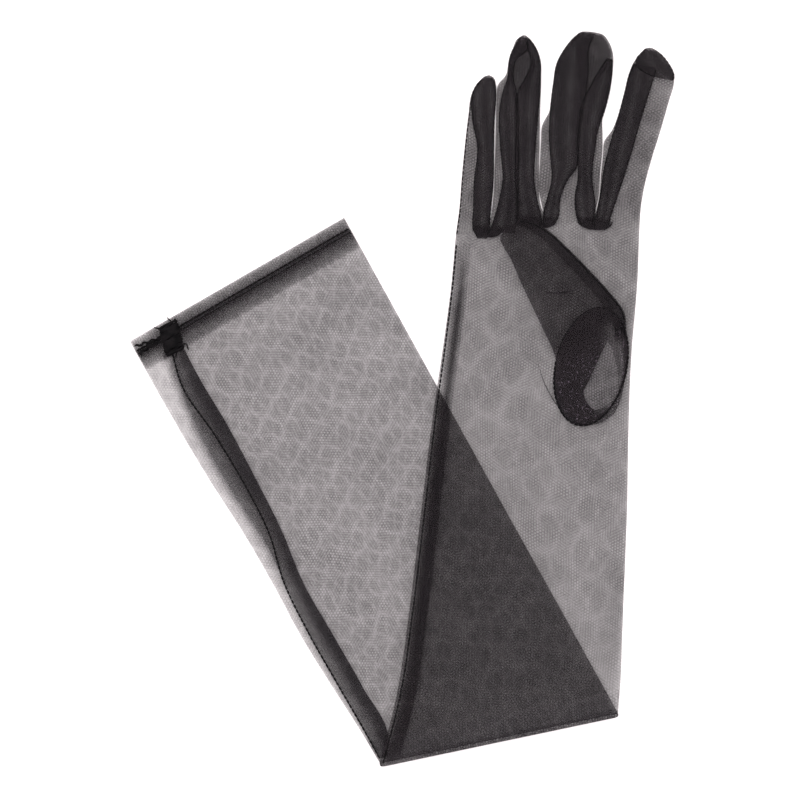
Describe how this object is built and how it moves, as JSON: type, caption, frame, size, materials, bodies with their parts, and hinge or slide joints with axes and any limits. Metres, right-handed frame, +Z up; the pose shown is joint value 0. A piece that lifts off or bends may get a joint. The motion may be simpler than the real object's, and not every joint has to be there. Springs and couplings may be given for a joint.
{
  "type": "opera glove",
  "caption": "Elbow-length sheer black stretch-net glove, laid flat palm up with its upper sleeve folded under the forearm.",
  "frame": {"origin": "middle of the flat-laid glove's bounding box, on the surface that it lies on", "axes": "+Z up off that surface, on the palm side; +Y towards the fingertips; +X towards the index finger's side"},
  "size_m": [0.2586, 0.355, 0.0067],
  "materials": {
    "sheer_net": "matte sheer net",
    "doubled_net": "matte net in two or more layers",
    "seam_thread": "soft satin thread"
  },
  "bodies": {
    "sleeve": {"sleeve_under_panel": "sheer_net", "sleeve_upper_panel": "sheer_net", "cuff_hem_under": "doubled_net", "cuff_hem_upper": "doubled_net", "cuff_hem_thread": "seam_thread", "sleeve_seam_allowance": "doubled_net", "sleeve_seam_thread": "seam_thread", "cuff_seam_tack": "seam_thread", "sleeve_fold_roll": "sheer_net"},
    "hand": {"back_of_hand_panel": "sheer_net", "palm_panel": "sheer_net", "forearm_seam_allowance": "doubled_net", "forearm_seam_thread": "seam_thread", "thumb_root": "sheer_net", "thumb_hole_thread": "seam_thread", "thumb_hole_allowance": "doubled_net"},
    "little_finger": {"little_back_side": "sheer_net", "little_palm_side": "sheer_net", "little_inner_fork_strip": "doubled_net", "little_seam_thread": "seam_thread"},
    "ring_finger": {"ring_back_side": "sheer_net", "ring_palm_side": "sheer_net", "ring_outer_fork_strip": "doubled_net", "ring_inner_fork_strip": "doubled_net", "ring_seam_thread": "seam_thread"},
    "middle_finger": {"middle_back_side": "sheer_net", "middle_palm_side": "sheer_net", "middle_outer_fork_strip": "doubled_net", "middle_inner_fork_strip": "doubled_net", "middle_seam_thread": "seam_thread"},
    "index_finger": {"index_back_side": "sheer_net", "index_palm_side": "sheer_net", "index_outer_fork_strip": "doubled_net", "index_seam_thread": "seam_thread"},
    "thumb": {"thumb_under_side": "sheer_net", "thumb_upper_side": "sheer_net", "thumb_seam_allowance": "doubled_net", "thumb_seam_thread": "seam_thread"}
  },
  "joints": [
    {"name": "sleeve_fold", "type": "hinge", "parent": "sleeve", "child": "hand", "pos_m": [0.04637, -0.16323, 0.00265], "axis": [0.9785, 0.2062, 0], "range_deg": [0, 179]},
    {"name": "little_finger_bend", "type": "hinge", "parent": "hand", "child": "little_finger", "pos_m": [0.03314, 0.07954, 0.0046], "axis": [0.9971, -0.0767, 0], "range_deg": [0, 90]},
    {"name": "ring_finger_bend", "type": "hinge", "parent": "hand", "child": "ring_finger", "pos_m": [0.05479, 0.08446, 0.0046], "axis": [0.9988, -0.0489, 0], "range_deg": [0, 90]},
    {"name": "middle_finger_bend", "type": "hinge", "parent": "hand", "child": "middle_finger", "pos_m": [0.07981, 0.08575, 0.0046], "axis": [0.9914, -0.1305, 0], "range_deg": [0, 90]},
    {"name": "index_finger_bend", "type": "hinge", "parent": "hand", "child": "index_finger", "pos_m": [0.10218, 0.07464, 0.0046], "axis": [0.981, -0.1942, 0], "range_deg": [0, 90]},
    {"name": "thumb_swing", "type": "hinge", "parent": "hand", "child": "thumb", "pos_m": [0.09203, 0.03179, 0.00475], "axis": [0.829, 0.5592, 0], "range_deg": [0, 120]}
  ]
}
